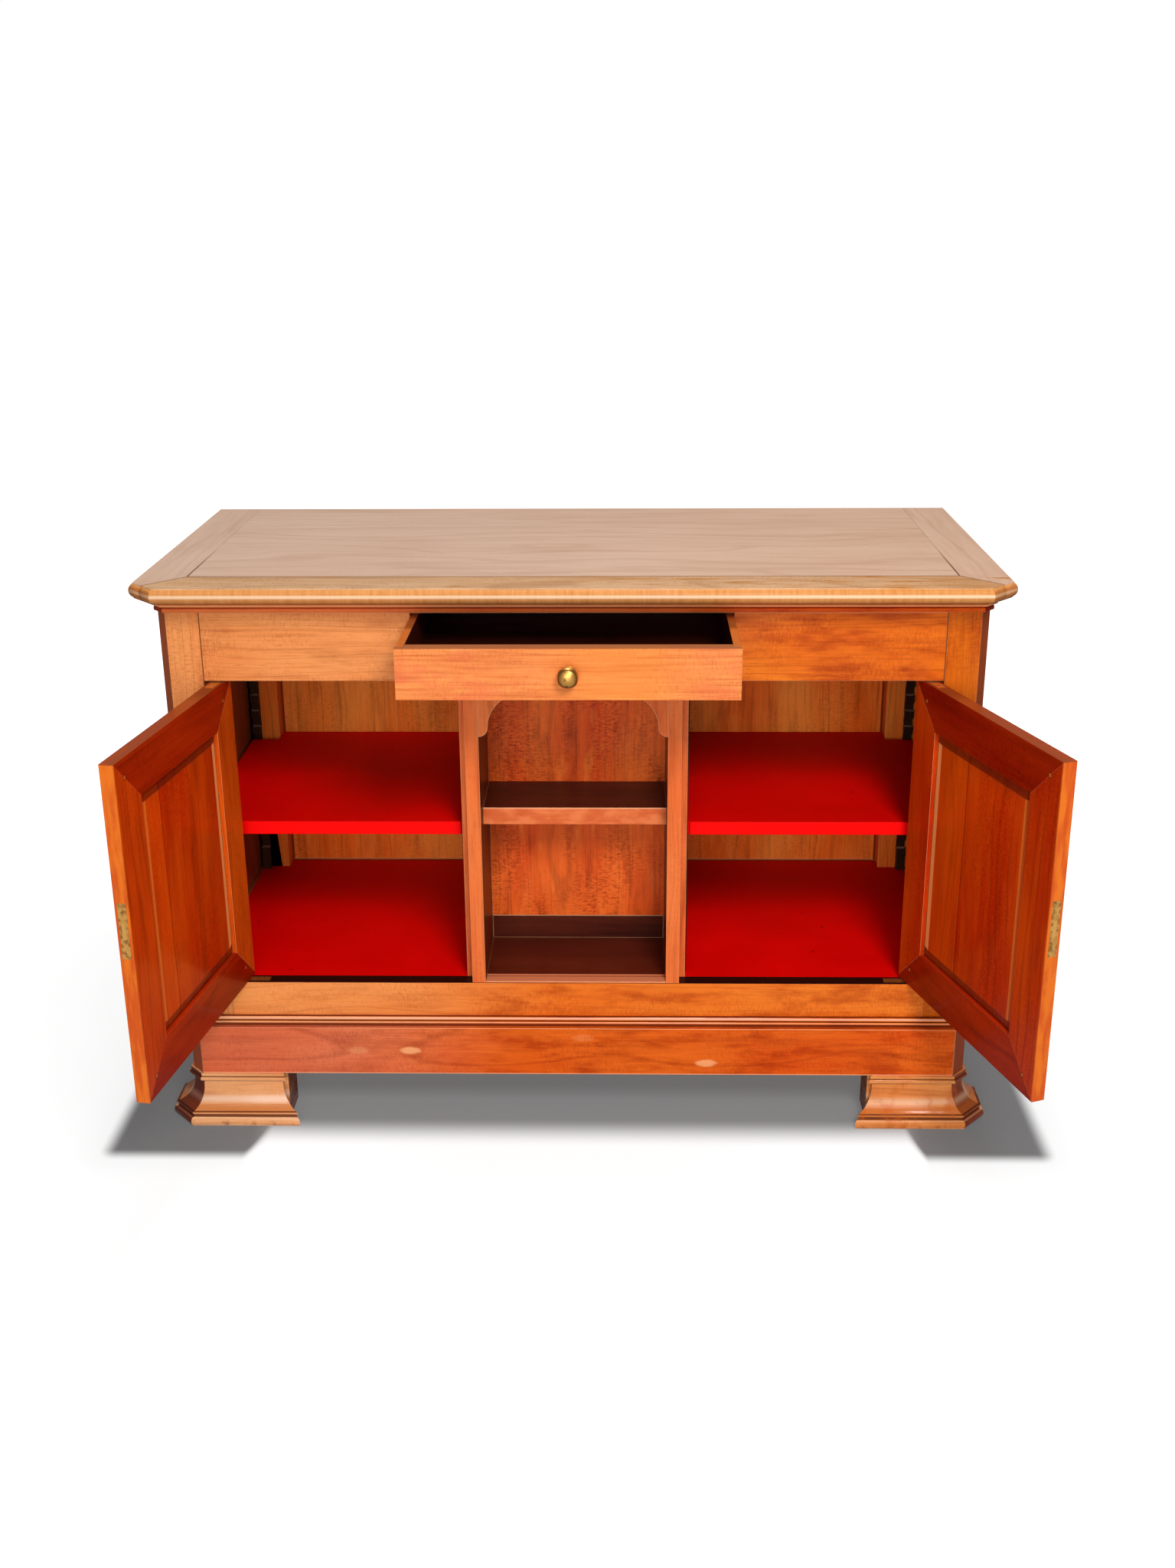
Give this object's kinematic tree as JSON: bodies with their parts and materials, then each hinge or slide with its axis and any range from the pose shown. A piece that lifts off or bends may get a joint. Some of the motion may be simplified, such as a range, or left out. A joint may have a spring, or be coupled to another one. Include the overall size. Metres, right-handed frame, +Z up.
{
  "type": "buffet cabinet",
  "caption": "Low wooden buffet with doors on centre pivots at each side of an arched open niche, a drawer in the frieze, canted corners, a moulded plinth and flared moulded feet",
  "frame": {"origin": "on the floor, at the middle of the bounding box of the cabinet as it stands with both doors open and the drawer pulled out as drawn", "axes": "+X runs along the front from the left door to the right door, +Y runs from the front to the back, +Z is up"},
  "size_m": [1.462, 0.9394, 1],
  "materials": {
    "cherry_top": "french polished, sheen",
    "cherry": "waxed and polished",
    "cherry_doors": "waxed, deep red",
    "inner_wood": "old, plain",
    "red_paint": "painted red, satin",
    "brass": "worn, polished by use"
  },
  "bodies": {
    "carcass": {"top_field": "cherry_top", "top_front_rail": "cherry_top", "top_left_rail": "cherry_top", "top_right_rail": "cherry_top", "cornice_moulding": "cherry", "left_front_post": "cherry", "right_front_post": "cherry", "left_rear_post": "inner_wood", "right_rear_post": "inner_wood", "front_top_rail": "cherry", "frieze_board": "cherry", "bottom_rail": "cherry", "left_side_rails": "cherry", "right_side_rails": "cherry", "side_panels": "cherry", "left_centre_stile": "cherry", "right_centre_stile": "cherry", "left_partition": "inner_wood", "right_partition": "inner_wood", "niche_apron": "cherry", "niche_back": "cherry", "niche_back_rail": "cherry", "niche_shelf": "inner_wood", "niche_floor": "cherry", "base_moulding": "cherry", "plinth_front": "cherry", "plinth_sides": "cherry", "left_front_foot": "cherry", "right_front_foot": "cherry", "rear_feet": "cherry", "left_floor": "red_paint", "right_floor": "red_paint", "back_frame": "inner_wood", "back_panels": "inner_wood", "left_shelf": "red_paint", "right_shelf": "red_paint", "shelf_racks": "inner_wood", "shelf_cleats": "inner_wood", "drawer_runners": "inner_wood", "pivot_sockets": "brass"},
    "left_door": {"left_hinge_stile": "cherry_doors", "left_lock_stile": "cherry_doors", "left_door_rails": "cherry_doors", "left_door_panel": "cherry_doors", "left_pivots": "brass", "left_lock": "brass"},
    "right_door": {"right_hinge_stile": "cherry_doors", "right_lock_stile": "cherry_doors", "right_door_rails": "cherry_doors", "right_door_panel": "cherry_doors", "right_pivots": "brass", "right_lock": "brass"},
    "drawer": {"drawer_front": "cherry", "drawer_sides": "inner_wood", "drawer_back": "inner_wood", "drawer_bottom": "inner_wood", "drawer_knob": "brass"},
    "left_bolt": {"left_bolt": "brass"},
    "right_bolt": {"right_bolt": "brass"}
  },
  "joints": [
    {"name": "left_door_hinge", "type": "hinge", "parent": "carcass", "child": "left_door", "pos_m": [-0.582, -0.07284, 0.274], "axis": [0, 0, 1], "range_deg": [-20.7, 99.3]},
    {"name": "right_door_hinge", "type": "hinge", "parent": "carcass", "child": "right_door", "pos_m": [0.582, -0.07284, 0.274], "axis": [0, 0, 1], "range_deg": [-108.8, 11.2]},
    {"name": "drawer_slide", "type": "slide", "parent": "carcass", "child": "drawer", "axis": [0, 1, 0], "range_m": [-0.15, 0.196]},
    {"name": "left_bolt_slide", "type": "slide", "parent": "left_door", "child": "left_bolt", "axis": [-0.1616, -0.9869, 0], "range_m": [0, 0.008]},
    {"name": "right_bolt_slide", "type": "slide", "parent": "right_door", "child": "right_bolt", "axis": [0.3223, -0.9466, 0], "range_m": [0, 0.008]}
  ]
}
